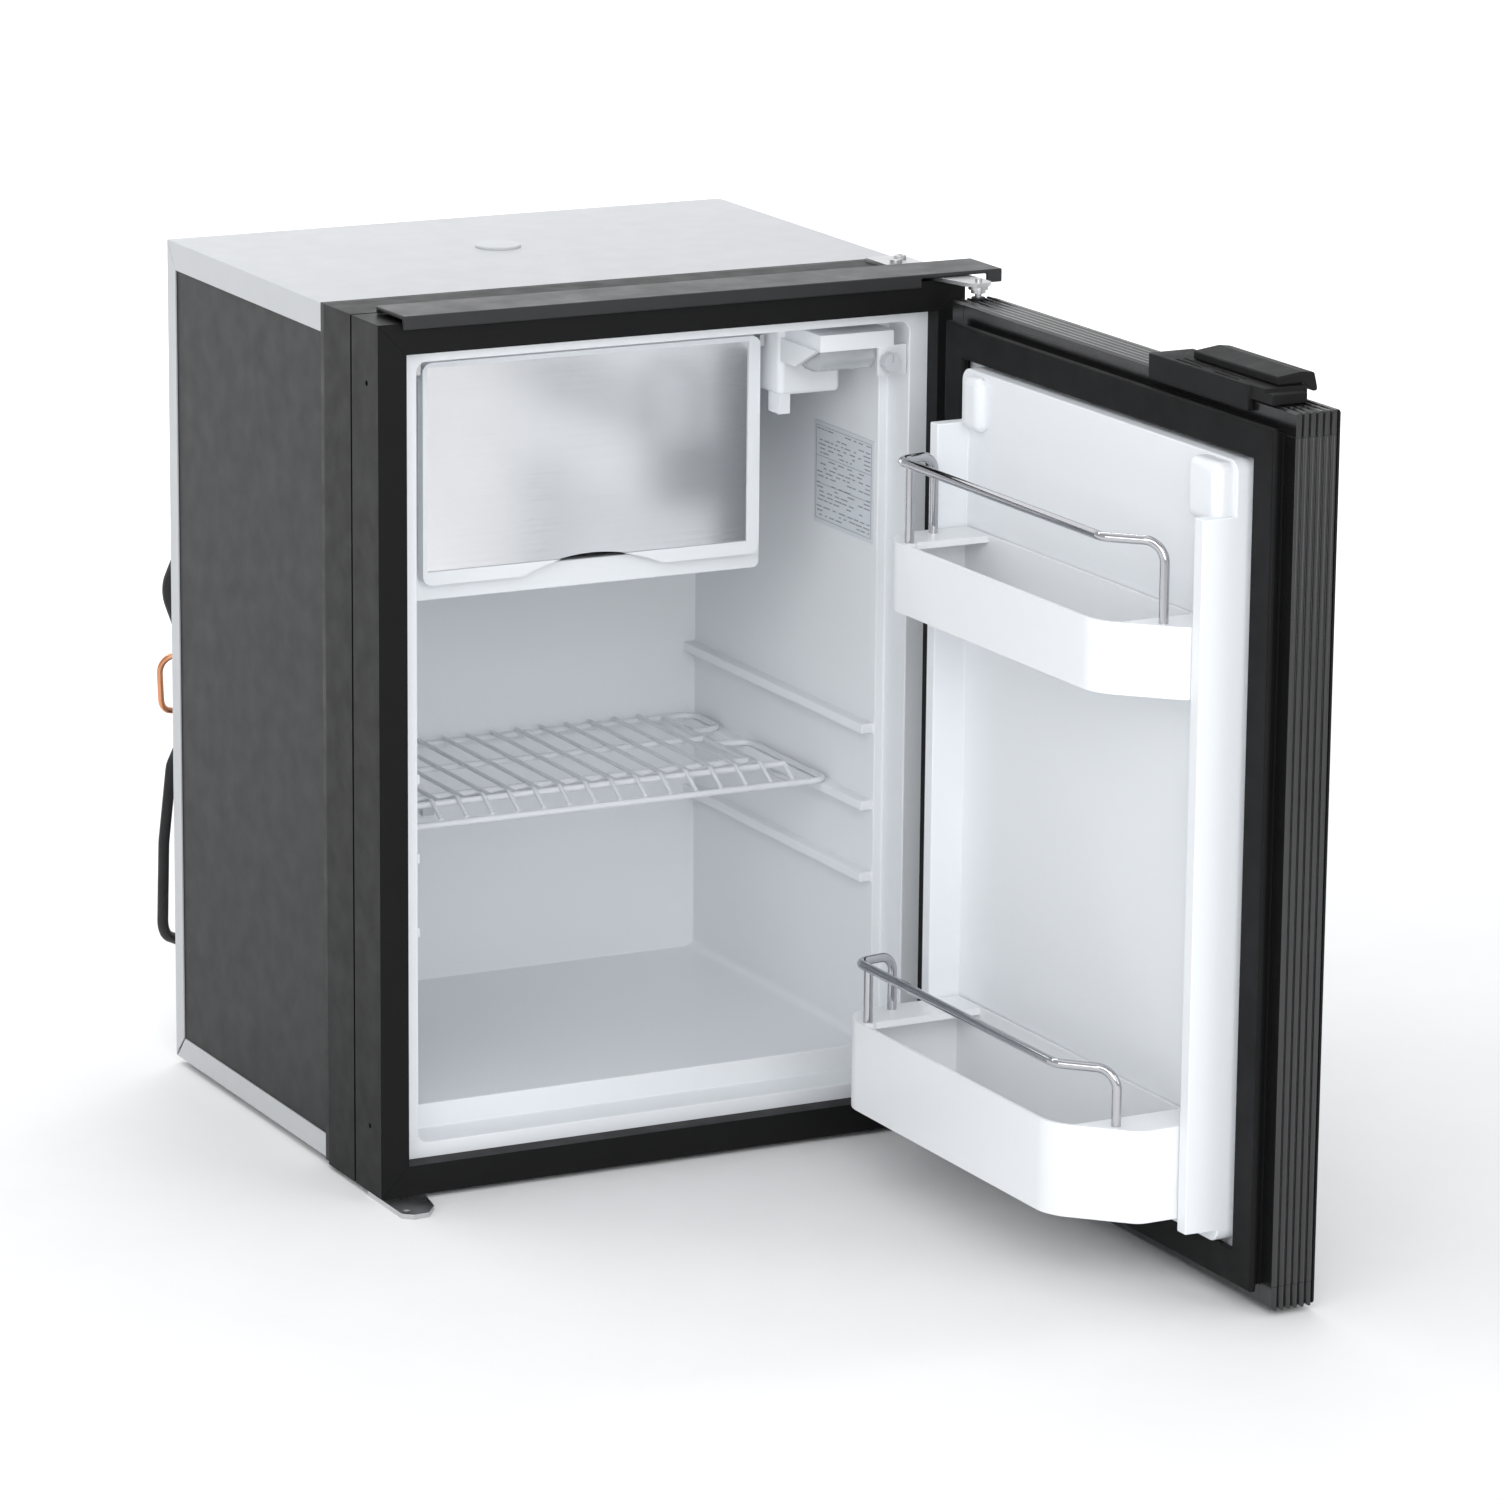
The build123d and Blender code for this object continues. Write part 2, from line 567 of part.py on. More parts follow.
def door_liner():
    z0, z1 = PLUG_Z
    flange = block((14.0, CAB_W - 14.0), (DOOR_BACK, DOOR_BACK + 1.5), (15.0, 497.0))
    plug = rounded_room(PLUG_X, (DOOR_BACK, PLUG_BACK), PLUG_Z, 8.0)
    left = block((PLUG_X[0], PLUG_X[0] + TOWER_W), (DOOR_BACK, TOWER_BACK), (z0 + 8.0, TOWER_TOP))
    right = block((PLUG_X[1] - TOWER_W, PLUG_X[1]), (DOOR_BACK, TOWER_BACK), (z0 + 8.0, TOWER_TOP))
    body = flange + plug + left + right
    core = block(grow(PLUG_X, -1.6), (DOOR_BACK - 1.0, PLUG_BACK - 1.6), grow(PLUG_Z, -2.2))
    edges = core.edges().filter_by(Axis.Y)
    core = fillet(edges, 6.0)
    core_l = block((PLUG_X[0] + 1.6, PLUG_X[0] + TOWER_W - 1.6), (0.0, TOWER_BACK - 1.6), (z0 + 10.0, TOWER_TOP - 2.0))
    core_r = block((PLUG_X[1] - TOWER_W + 1.6, PLUG_X[1] - 1.6), (0.0, TOWER_BACK - 1.6), (z0 + 10.0, TOWER_TOP - 2.0))
    return body - core - core_l - core_r


def door_gasket():
    lip = block((9.0, CAB_W - 9.0), (GASKET_Y[1] - 4.0, GASKET_Y[1]), (10.0, 502.0))
    lip = lip - block((30.0, CAB_W - 30.0), (-10.0, 1.0), (30.0, 482.0))
    foot = block((12.0, CAB_W - 12.0), (GASKET_Y[0], GASKET_Y[1] - 3.0), (13.0, 499.0))
    foot = foot - block((27.0, CAB_W - 27.0), (-10.0, 1.0), (27.0, 485.0))
    return lip + foot


def latch_base():
    z0 = DOOR_Z[1] + FIT
    body = block((30.0, 150.0), (-35.0, -7.6), (z0, z0 + 8.0))
    wing = block((22.0, 46.0), (-30.0, -7.6), (z0, z0 + 6.0))
    skirt = block((45.0, 150.0), (-9.8, -6.0), (z0 - 7.0, z0 + 8.0))
    body = body + wing + skirt
    for x in (60.0, 100.0):
        for shift in (0.0, 5.0):
            body = body - block((x, x + 26.0), (-16.0 + shift, -14.0 + shift), (z0 + 5.0, z0 + 9.0))
    pocket = block((44.0, 114.0), (-33.0, -20.0), (z0 + 5.4, z0 + 9.0))
    return body - pocket


def latch_lever():
    z0 = DOOR_Z[1] + FIT
    plate = prism_x([(-44.0, z0 + 6.0), (-42.0, z0 + 14.0), (-34.0, z0 + 15.0), (-18.0, z0 + 13.0),
                     (-18.0, z0 + 8.2), (-35.4, z0 + 8.2), (-41.0, z0 + 3.5), (-44.0, z0 + 3.5)],
                    (34.0, 122.0))
    slider = block((48.0, 110.0), (-32.6, -20.4), (z0 + 5.6, z0 + 8.6))
    return plate + slider


def bin_outline(depth, inset):
    x0, x1 = BIN_X
    y0 = PLUG_BACK + 1.0 + inset
    y1 = depth - inset
    slope = 0.45 * inset
    bend = depth - BIN_CUT
    return [(x0 + inset, y0), (x1 - inset, y0), (x1 - inset, y1),
            (x0 + BIN_CUT + slope, y1), (x0 + inset, bend - slope)]


def bin_shape(depth, inset, z):
    block_shape = prism_z(bin_outline(depth, inset), z)
    for point, radius in zip(bin_outline(depth, inset)[2:], BIN_ROUNDS):
        corner = [e for e in block_shape.edges().filter_by(Axis.Z)
                  if abs(e.center().X - point[0]) < 0.2 and abs(e.center().Y - point[1]) < 0.2]
        block_shape = fillet(corner, radius - inset)
    return block_shape


def bin_body(levels):
    z0, z1, depth = levels
    outer = bin_shape(depth, 0.0, (z0, z1))
    tray = outer - bin_shape(depth, BIN_T, (z0 + 2.5, z1 + 1.0))
    ledge_z = (z1 - BIN_LEDGE_T, z1)
    ledge_l = outer & block((BIN_X[0], BIN_X[0] + BIN_LEDGE), (0.0, depth), ledge_z)
    ledge_r = outer & block((BIN_X[1] - BIN_LEDGE, BIN_X[1]), (0.0, depth), ledge_z)
    tray = tray + ledge_l + ledge_r
    front_post = rail_posts(depth)[1]
    return tray + disc_z(front_post[0], front_post[1], (z1 - 12.0, z1), BOSS_R)


def rail_posts(depth):
    x0, x1 = BIN_X
    return [(x0 + 16.0, depth - 31.0), (x1 - 26.0, depth - 6.0), (x1 - 8.0, depth - 32.0)]


def bin_rail(levels, rail_z):
    z1, depth = levels[1], levels[2]
    latch, front, back = rail_posts(depth)
    foot = z1 + 0.05
    bend = (BIN_X[0] + BIN_CUT + 4.0, depth - 6.0)
    turn = (BIN_X[1] - 12.0, depth - 6.0)
    path = [(latch[0], latch[1], foot), (latch[0], latch[1], rail_z), (bend[0], bend[1], rail_z),
            (turn[0], turn[1], rail_z), (back[0], back[1], rail_z), (back[0], back[1], foot)]
    rail = wire(path, (12, 12, 9, 9), RAIL_R)
    post = straight((front[0], front[1], foot), (front[0], front[1], rail_z), RAIL_R)
    return rail + post


# ---------------------------------------------------------------- cooling unit

def unit_tray():
    floor = block(UNIT_X, UNIT_Y, TRAY_Z)
    lip = block(UNIT_X, (UNIT_Y[1] - 2.0, UNIT_Y[1]), (TRAY_Z[0], 16.0))
    tongue = block((UNIT_X[0], UNIT_X[1]), (CAB_D + FIT, CAB_D + 2.0 + FIT), (TRAY_Z[0], 30.0))
    bridge = block(UNIT_X, (CAB_D + FIT, UNIT_Y[0] + 1.0), TRAY_Z)
    return floor + lip + tongue + bridge


def rear_pads():
    pads = []
    for x in (UNIT_X[0] + 12.0, UNIT_X[1] - 12.0):
        pads.append(disc_z(x, UNIT_Y[1] - 14.0, (FLOOR_Z, TRAY_Z[0] - FIT), 9.0))
    return fuse(pads)


def compressor():
    body = Pos(268.0, 384.0, 74.0) * Box(140.0, 96.0, 116.0)
    body = fillet(body.edges().filter_by(Axis.Z), 40.0)
    body = fillet(body.edges().sort_by(Axis.Z)[-8:], 26.0)
    body = fillet(body.edges().sort_by(Axis.Z)[:8], 16.0)
    seam = Pos(268.0, 384.0, 80.0) * Box(146.0, 102.0, 3.0)
    seam = fillet(seam.edges().filter_by(Axis.Z), 43.0)
    feet = block((192.0, 344.0), (352.0, 416.0), (13.0, 16.6))
    hollow = Pos(268.0, 384.0, 78.0) * Box(104.0, 62.0, 84.0)
    return body + seam + feet - hollow


def compressor_grommets():
    pads = []
    for x in (198.0, 338.0):
        for y in (358.0, 410.0):
            pads.append(disc_z(x, y, (TRAY_Z[1] + FIT, 12.9), 6.0))
    return fuse(pads)


def control_box():
    body = block((190.0, 194.4), (366.0, 400.0), (60.0, 100.0))
    cover = block((176.0, 191.0), (362.0, 404.0), (54.0, 106.0))
    return fillet(cover.edges().filter_by(Axis.X), 3.0) + body


def condenser():
    coil_y = (326.0, 336.0)
    parts = []
    for i in range(9):
        z = 200.0 + 30.0 * i
        parts.append(disc_x((104.0, 344.0), 331.0, z, 2.4))
    for i in range(8):
        z = 200.0 + 30.0 * i
        x = 104.0 if i % 2 else 344.0
        parts.append(disc_z(x, 331.0, (z, z + 30.0), 2.4))
    for i in range(17):
        x = 112.0 + 14.0 * i
        parts.append(block((x - 0.7, x + 0.7), coil_y, (192.0, 448.0)))
    for x in (126.0, 322.0):
        for z in (200.0, 440.0):
            parts.append(block((x - 4.0, x + 4.0), (CAB_D + FIT, 331.0), (z - 4.0, z + 4.0)))
    return fuse(parts)


def fan_shroud():
    cx, cy, cz = FAN_C
    plate = block((cx - 46.0, cx + 46.0), (cy - 12.0, cy + 12.0), (cz - 46.0, cz + 46.0))
    bore = disc_y(cx, (cy - 20.0, cy + 20.0), cz, FAN_R + 3.0)
    ring = plate - bore
    stay = block((cx - 44.0, cx + 44.0), (cy + 9.4, cy + 12.0), (cz - 4.0, cz + 4.0))
    hub = disc_y(cx, (cy + 9.4, cy + 12.0), cz, 12.0)
    leg = block((cx - 40.0, cx + 40.0), (cy - 12.0, cy - 8.0), (TRAY_Z[1] + FIT, cz - 44.0))
    axle = disc_y(cx, (cy - 6.0, cy + 10.0), cz, 2.0)
    return ring + stay + hub + leg + axle


def fan_rotor():
    cx, cy, cz = FAN_C
    hub = disc_y(cx, (cy - 8.0, cy + 8.0), cz, 11.0)
    blades = [hub]
    for i in range(5):
        blade = Pos(22.0, 0, 0) * Rot(32, 0, 0) * Box(28.0, 1.6, 17.0)
        blades.append(Pos(cx, cy, cz) * Rot(0, 72.0 * i, 0) * blade)
    wheel = fuse(blades)
    return wheel - disc_y(cx, (cy - 7.0, cy + 12.0), cz, 2.06)


def filter_drier():
    body = disc_z(126.0, 400.0, (60.0, 150.0), 9.0)
    body = fillet(body.edges(), 5.0)
    tail = disc_z(126.0, 400.0, (52.0, 158.0), 3.2)
    foot = block((118.0, 134.0), (392.0, 408.0), (TRAY_Z[1] + FIT, 52.0))
    return body + tail + foot


def suction_line():
    return wire([(236.0, 384.0, 133.5), (236.0, 384.0, 172.0), (236.0, CAB_D + FIT, 172.0)], (14,), 3.0)


def copper_line():
    path = [(126.0, 400.0, 158.1), (126.0, 400.0, 182.0), (60.0, 388.0, 200.0), (12.0, 364.0, 214.0),
            (10.0, 362.0, 246.0), (44.0, 340.0, 262.0), (44.0, CAB_D + FIT, 262.0)]
    return wire(path, (10, 18, 10, 12, 7), 2.0)


def wiring_loop():
    path = [(176.0 - FIT, 383.0, 80.0), (156.0, 383.0, 80.0), (120.0, 428.0, 56.0), (60.0, 412.0, 40.0),
            (14.0, 372.0, 66.0), (10.0, 358.0, 130.0), (14.0, 354.0, 180.0), (24.0, 342.0, 214.0),
            (24.0, CAB_D + FIT, 214.0)]
    return wire(path, (10, 22, 24, 20, 24, 14, 8), 3.5)


def sleeve_bundle():
    path = [(20.0, CAB_D + FIT, 318.0), (20.0, 346.0, 318.0), (14.0, 357.0, 292.0),
            (20.0, 346.0, 266.0), (20.0, CAB_D + FIT, 266.0)]
    return wire(path, (8, 20, 8), 5.0)


# ---------------------------------------------------------------- assembly

def cabinet_nodes():
    nodes = {
        "top_panel": top_panel(),
        "back_panel": back_panel(),
        "bottom_panel": bottom_panel(),
        "left_side_panel": side_panel(BODY_IN + SHEET + FIT),
        "right_side_panel": side_panel(CAB_W - BODY_IN - 2 * SHEET - FIT),
        "insulation_foam": insulation_foam(),
        "inner_liner": inner_liner(),
        "filler_plug": filler_plug(),
        "top_cap": top_cap(),
        "upper_hinge_plate": upper_hinge_plate(),
        "hinge_pins": upper_hinge_pin() + lower_hinge_pin(),
        "hinge_screws": hinge_screws(),
        "hinge_bracket_left": lower_bracket("left"),
        "hinge_bracket_right": lower_bracket("right"),
        "bracket_screws": bracket_screws(),
    }
    rails = frame_rails()
    rails["frame_bottom_rail"] = bottom_rail_drilled(rails["frame_bottom_rail"])
    nodes.update(rails)
    return nodes


def inside_nodes():
    return {
        "evaporator_box": evaporator_box(),
        "freezer_bezel": freezer_bezel(),
        "flap_frame": flap_frame(),
        "flap_panel": flap_panel(),
        "flap_pins": flap_pins(),
        "thermostat_housing": thermostat_housing(),
        "lamp_lens": lamp_lens(),
        "lamp_bulb": lamp_bulb(),
        "thermostat_knob": thermostat_knob(),
        "sensor_clip": sensor_clip(),
        "rating_label": rating_label(),
        "wire_shelf": wire_shelf(),
    }


def door_nodes():
    nodes = {
        "door_front_panel": door_front_panel(),
        "door_foam": door_foam(),
        "door_liner": door_liner(),
        "door_gasket": door_gasket(),
        "door_bushes": door_bushes(),
        "latch_base": latch_base(),
        "latch_lever": latch_lever(),
        "upper_bin": bin_body(UPPER_BIN),
        "lower_bin": bin_body(LOWER_BIN),
        "upper_rail": bin_rail(UPPER_BIN, UPPER_RAIL_Z),
        "lower_rail": bin_rail(LOWER_BIN, LOWER_RAIL_Z),
    }
    nodes.update(door_edges())
    return nodes


def unit_nodes():
    return {
        "unit_tray": unit_tray(),
        "rear_pads": rear_pads(),
        "compressor": compressor(),
        "compressor_grommets": compressor_grommets(),
        "control_box": control_box(),
        "condenser": condenser(),
        "fan_shroud": fan_shroud(),
        "fan_rotor": fan_rotor(),
        "filter_drier": filter_drier(),
        "suction_line": suction_line(),
        "copper_line": copper_line(),
        "wiring_loop": wiring_loop(),
        "sleeve_bundle": sleeve_bundle(),
    }


def open_door(shape):
    axis = Axis((HINGE_X, HINGE_Y, 0.0), (0, 0, 1))
    return shape.rotate(axis, DOOR_OPEN)


def all_nodes():
    nodes = cabinet_nodes()
    nodes.update(inside_nodes())
    nodes.update(unit_nodes())
    for name, shape in door_nodes().items():
        nodes[name] = open_door(shape)
    return nodes


def base_centre(nodes):
    boxes = [shape.bounding_box() for shape in nodes.values()]
    x = (min(b.min.X for b in boxes) + max(b.max.X for b in boxes)) / 2
    y = (min(b.min.Y for b in boxes) + max(b.max.Y for b in boxes)) / 2
    z = min(b.min.Z for b in boxes)
    return (x, y, z)


def main():
    os.makedirs("parts", exist_ok=True)
    nodes = all_nodes()
    x, y, z = base_centre(nodes)
    print("base centre", round(x, 4), round(y, 4), round(z, 4))
    for name, shape in nodes.items():
        export_step(Pos(-x, -y, -z) * shape, "parts/" + name + ".step")


main()
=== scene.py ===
import json
import math
import random

import bmesh
import bpy
from mathutils import Matrix, Vector


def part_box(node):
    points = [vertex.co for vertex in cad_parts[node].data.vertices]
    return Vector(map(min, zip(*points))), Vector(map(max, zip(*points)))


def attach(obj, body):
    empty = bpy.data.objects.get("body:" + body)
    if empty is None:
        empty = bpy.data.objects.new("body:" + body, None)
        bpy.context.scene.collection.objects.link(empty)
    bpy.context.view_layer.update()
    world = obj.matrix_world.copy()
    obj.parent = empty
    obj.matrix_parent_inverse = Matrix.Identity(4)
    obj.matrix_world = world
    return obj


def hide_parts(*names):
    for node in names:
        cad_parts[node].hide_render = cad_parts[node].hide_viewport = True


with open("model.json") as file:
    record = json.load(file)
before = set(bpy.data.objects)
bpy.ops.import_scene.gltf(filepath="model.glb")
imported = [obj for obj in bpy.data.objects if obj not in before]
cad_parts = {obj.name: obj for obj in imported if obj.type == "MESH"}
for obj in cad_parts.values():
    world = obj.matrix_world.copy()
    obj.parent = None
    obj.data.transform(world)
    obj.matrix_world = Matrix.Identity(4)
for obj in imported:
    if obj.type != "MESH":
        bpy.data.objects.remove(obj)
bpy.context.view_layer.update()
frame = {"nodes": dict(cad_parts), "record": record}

# Places are in millimetres from the cabinet's front left bottom corner. The brackets reach below it.
# HINGE is the axis that the door turns on and OPEN the angle at which it stands.
MM = 0.001
BRACKET_DROP = 3.0
HINGE = Vector((375.0, -25.0, 0.0))
OPEN = math.radians(91.0)
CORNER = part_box("frame_left_stile")[0]
ORIGIN = Vector((CORNER.x, CORNER.y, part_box("hinge_bracket_left")[0].z + BRACKET_DROP * MM))

BODIES = frame["record"]["behaviour"]["bodies"]
BODY_OF = {node: body for body, nodes in BODIES.items() for node in nodes}
random.seed(11)


# ------------------------------------------------------------------ places

def cabinet_matrix():
    """Carries the cabinet's millimetre coordinates to where the cabinet stands."""
    return Matrix.Translation(ORIGIN) @ Matrix.Scale(MM, 4)


def door_matrix():
    """Carries a closed door's millimetre coordinates to where the open door stands."""
    turn = Matrix.Translation(HINGE) @ Matrix.Rotation(OPEN, 4, "Z") @ Matrix.Translation(-HINGE)
    return cabinet_matrix() @ turn


# ------------------------------------------------------------------ materials

# The values of a noise texture lie mostly between these two.
NOISE_LOW = 0.3
NOISE_HIGH = 0.7

# Scales of two noises in finish_of: soft patches of tone, and patches of roughness.
TONE_PATCHES = 14.0
ROUGH_PATCHES = 60.0

# How much of the fine grain's darker tone shows at most.
GRAIN_SHARE = 0.35

# Pointiness at which a worn edge begins to show and at which it is full.
WORN_START = 0.53
WORN_FULL = 0.62

# Noise scales, darker tone, spread of the roughness, clear share and refraction of frosted pieces.
FROST_CLOUDS = 120.0
FROST_PATCHES = 80.0
FROST_WAVES = 60.0
FROST_TONE = 0.94
FROST_SPREAD = 0.03
FROST_CLEAR = 0.7
FROST_IOR = 1.45


class Maker:
    """Builds one node material: colour with soft mottling, varied roughness and fine bump."""

    def __init__(self, name):
        self.mat = bpy.data.materials.new(name)
        self.mat.use_nodes = True
        self.tree = self.mat.node_tree
        self.shader = self.tree.nodes["Principled BSDF"]
        self.coords = self.node("ShaderNodeTexCoord")

    def node(self, kind, **inputs):
        made = self.tree.nodes.new(kind)
        for key, value in inputs.items():
            made.inputs[key].default_value = value
        return made

    def link(self, source, target):
        self.tree.links.new(source, target)

    def noise(self, scale, detail=4.0, stretch=(1, 1, 1)):
        mapping = self.node("ShaderNodeMapping")
        mapping.inputs["Scale"].default_value = stretch
        self.link(self.coords.outputs["Object"], mapping.inputs["Vector"])
        made = self.node("ShaderNodeTexNoise", Scale=scale, Detail=detail)
        self.link(mapping.outputs["Vector"], made.inputs["Vector"])
        return made.outputs["Fac"]

    def spread(self, source, low, high):
        made = self.node("ShaderNodeMapRange")
        made.inputs["From Min"].default_value = NOISE_LOW
        made.inputs["From Max"].default_value = NOISE_HIGH
        made.inputs["To Min"].default_value = low
        made.inputs["To Max"].default_value = high
        self.link(source, made.inputs["Value"])
        return made.outputs["Result"]

    def blend(self, factor, first, second):
        made = self.tree.nodes.new("ShaderNodeMix")
        made.data_type = "RGBA"
        self.link(factor, made.inputs["Factor"])
        for socket, value in ((made.inputs["A"], first), (made.inputs["B"], second)):
            if isinstance(value, tuple):
                socket.default_value = value
            else:
                self.link(value, socket)
        return made.outputs["Result"]

    def bump(self, source, strength, distance):
        made = self.node("ShaderNodeBump", Strength=strength, Distance=distance)
        self.link(source, made.inputs["Height"])
        return made.outputs["Normal"]


def tint(color, factor):
    """The colour made lighter or darker by a factor, with its alpha."""
    return tuple(min(1.0, c * factor) for c in color) + (1.0,)


def finish_of(name, color, rough=(0.35, 0.5), metallic=0.0, grain=900.0, bump=0.12, depth=0.0002,
              mottle=0.06, stretch=(1, 1, 1), worn=None, coat=0.0, shine=0.5):
    """A moulded, painted or metal surface. The grain is a noise scale and the depth is in metres."""
    m = Maker(name)
    broad = m.noise(TONE_PATCHES, 3.0)
    fine = m.noise(grain, 5.0, stretch)
    tone = m.blend(m.spread(broad, 0.0, 1.0), tint(color, 1.0 - mottle), tint(color, 1.0 + mottle))
    tone = m.blend(m.spread(fine, 0.0, GRAIN_SHARE), tone, tint(color, 1.0 - 2.0 * mottle))
    if worn is not None:
        edge = m.node("ShaderNodeNewGeometry").outputs["Pointiness"]
        ramp = m.node("ShaderNodeMapRange")
        ramp.inputs["From Min"].default_value = WORN_START
        ramp.inputs["From Max"].default_value = WORN_FULL
        m.link(edge, ramp.inputs["Value"])
        tone = m.blend(ramp.outputs["Result"], tone, tuple(worn) + (1.0,))
    m.link(tone, m.shader.inputs["Base Color"])
    uneven = m.noise(ROUGH_PATCHES, stretch=stretch)
    m.link(m.spread(uneven, rough[0], rough[1]), m.shader.inputs["Roughness"])
    m.link(m.bump(fine, bump, depth), m.shader.inputs["Normal"])
    m.shader.inputs["Metallic"].default_value = metallic
    m.shader.inputs["Specular IOR Level"].default_value = shine
    m.shader.inputs["Coat Weight"].default_value = coat
    return m.mat


def frosted(name, color, rough):
    """Cloudy plastic or glass that lets part of the light through."""
    m = Maker(name)
    clouds = m.spread(m.noise(FROST_CLOUDS), 0.0, 1.0)
    m.link(m.blend(clouds, tint(color, FROST_TONE), tint(color, 1.0)), m.shader.inputs["Base Color"])
    uneven = m.spread(m.noise(FROST_PATCHES), rough, rough + FROST_SPREAD)
    m.link(uneven, m.shader.inputs["Roughness"])
    m.link(m.bump(m.noise(FROST_WAVES), 0.02, 0.0001), m.shader.inputs["Normal"])
    m.shader.inputs["Transmission Weight"].default_value = FROST_CLEAR
    m.shader.inputs["IOR"].default_value = FROST_IOR
    return m.mat


WHITE = (0.80, 0.825, 0.85)
COOL_TINGE = 1.04


def black(name, level, rough, grain=2200.0, bump=0.14, mottle=0.12, shine=0.13):
    """A dull black or charcoal surface, very slightly blue."""
    color = (level, level, level * COOL_TINGE)
    return finish_of(name, color, rough, grain=grain, bump=bump, mottle=mottle, shine=shine)


def white(name, color, rough, grain=900.0):
    """A clean white or pale moulding or coating, nearly even."""
    return finish_of(name, color, rough, grain=grain, bump=0.008, depth=0.0001, mottle=0.004)


def metal(name, color, rough, grain=900.0, bump=0.06, mottle=0.03, stretch=(1, 1, 1), amount=1.0):
    """Bare or plated metal; a smaller amount makes it partly metallic, as under a thin coating."""
    return finish_of(name, color, rough, metallic=amount, grain=grain, bump=bump, mottle=mottle,
                     stretch=stretch)


MAT = {
    "shell": finish_of("shell_grey", (0.50, 0.51, 0.525), (0.36, 0.44), grain=1400.0, bump=0.05,
                       mottle=0.012),
    "side": finish_of("side_grey", (0.013, 0.0135, 0.0145), (0.44, 0.52), grain=1400.0, bump=0.05,
                      mottle=0.03, shine=0.25),
    "frame": black("frame_black", 0.0070, (0.40, 0.50)),
    "cap": black("cap_black", 0.022, (0.36, 0.46), 2600.0, 0.12, shine=0.35),
    "door_black": black("door_black", 0.010, (0.38, 0.5), 1800.0, 0.10),
    "ribs": black("rib_charcoal", 0.0085, (0.20, 0.27), 2400.0, 0.04, shine=0.8),
    "gasket": black("gasket_rubber", 0.007, (0.5, 0.62), 1600.0, 0.14),
    "white": white("white_plastic", WHITE, (0.31, 0.34), 220.0),
    "bin": white("bin_plastic", (0.82, 0.835, 0.85), (0.32, 0.35), 220.0),
    "coat": white("wire_coat", (0.72, 0.74, 0.77), (0.28, 0.36), 600.0),
    "plug": white("plug_grey", (0.52, 0.53, 0.54), (0.34, 0.42)),
    "knob": white("knob_grey", (0.58, 0.60, 0.63), (0.28, 0.36)),
    "film": white("label_film", (0.70, 0.73, 0.77), (0.35, 0.45)),
    "ink": finish_of("label_ink", (0.30, 0.32, 0.35), (0.4, 0.55), grain=900.0, bump=0.03, mottle=0.06),
    "chrome": metal("chrome", (0.52, 0.52, 0.54), (0.05, 0.10), bump=0.01, mottle=0.01),
    "zinc": metal("zinc_steel", (0.60, 0.60, 0.61), (0.26, 0.40), 700.0, 0.10, 0.07),
    "brushed": metal("brushed_sheet", (0.86, 0.86, 0.87), (0.15, 0.21), 260.0, 0.04, 0.03, (0.05, 1, 14)),
    "alu": metal("alu_sheet", (0.74, 0.76, 0.79), (0.30, 0.40), 500.0, 0.06, 0.02, amount=0.6),
    "copper": metal("copper", (0.78, 0.36, 0.20), (0.18, 0.34), 500.0, 0.08, 0.12),
    "black_paint": finish_of("black_paint", (0.014, 0.014, 0.015), (0.16, 0.26), grain=900.0, bump=0.05,
                             mottle=0.12, coat=0.25, worn=(0.04, 0.04, 0.04)),
    "rubber": black("rubber_black", 0.020, (0.6, 0.75), 1200.0, 0.22),
    "sleeve": black("wire_sleeve", 0.016, (0.42, 0.6), 1500.0, 0.4, mottle=0.25, shine=0.35),
    "moulded_black": black("moulded_black", 0.012, (0.46, 0.58), 2000.0, 0.22),
    "nylon": black("nylon_black", 0.03, (0.4, 0.5), 1500.0),
    "galvanised": metal("galvanised", (0.045, 0.045, 0.047), (0.35, 0.5), 700.0, 0.12, 0.12, amount=0.3),
    "foam": finish_of("foam", (0.80, 0.72, 0.48), (0.8, 0.95), grain=900.0, bump=0.6, mottle=0.08),
    "lens": frosted("lens_clear", (0.92, 0.95, 0.97), 0.18),
    "bulb": frosted("bulb_glass", (0.97, 0.96, 0.92), 0.08),
}

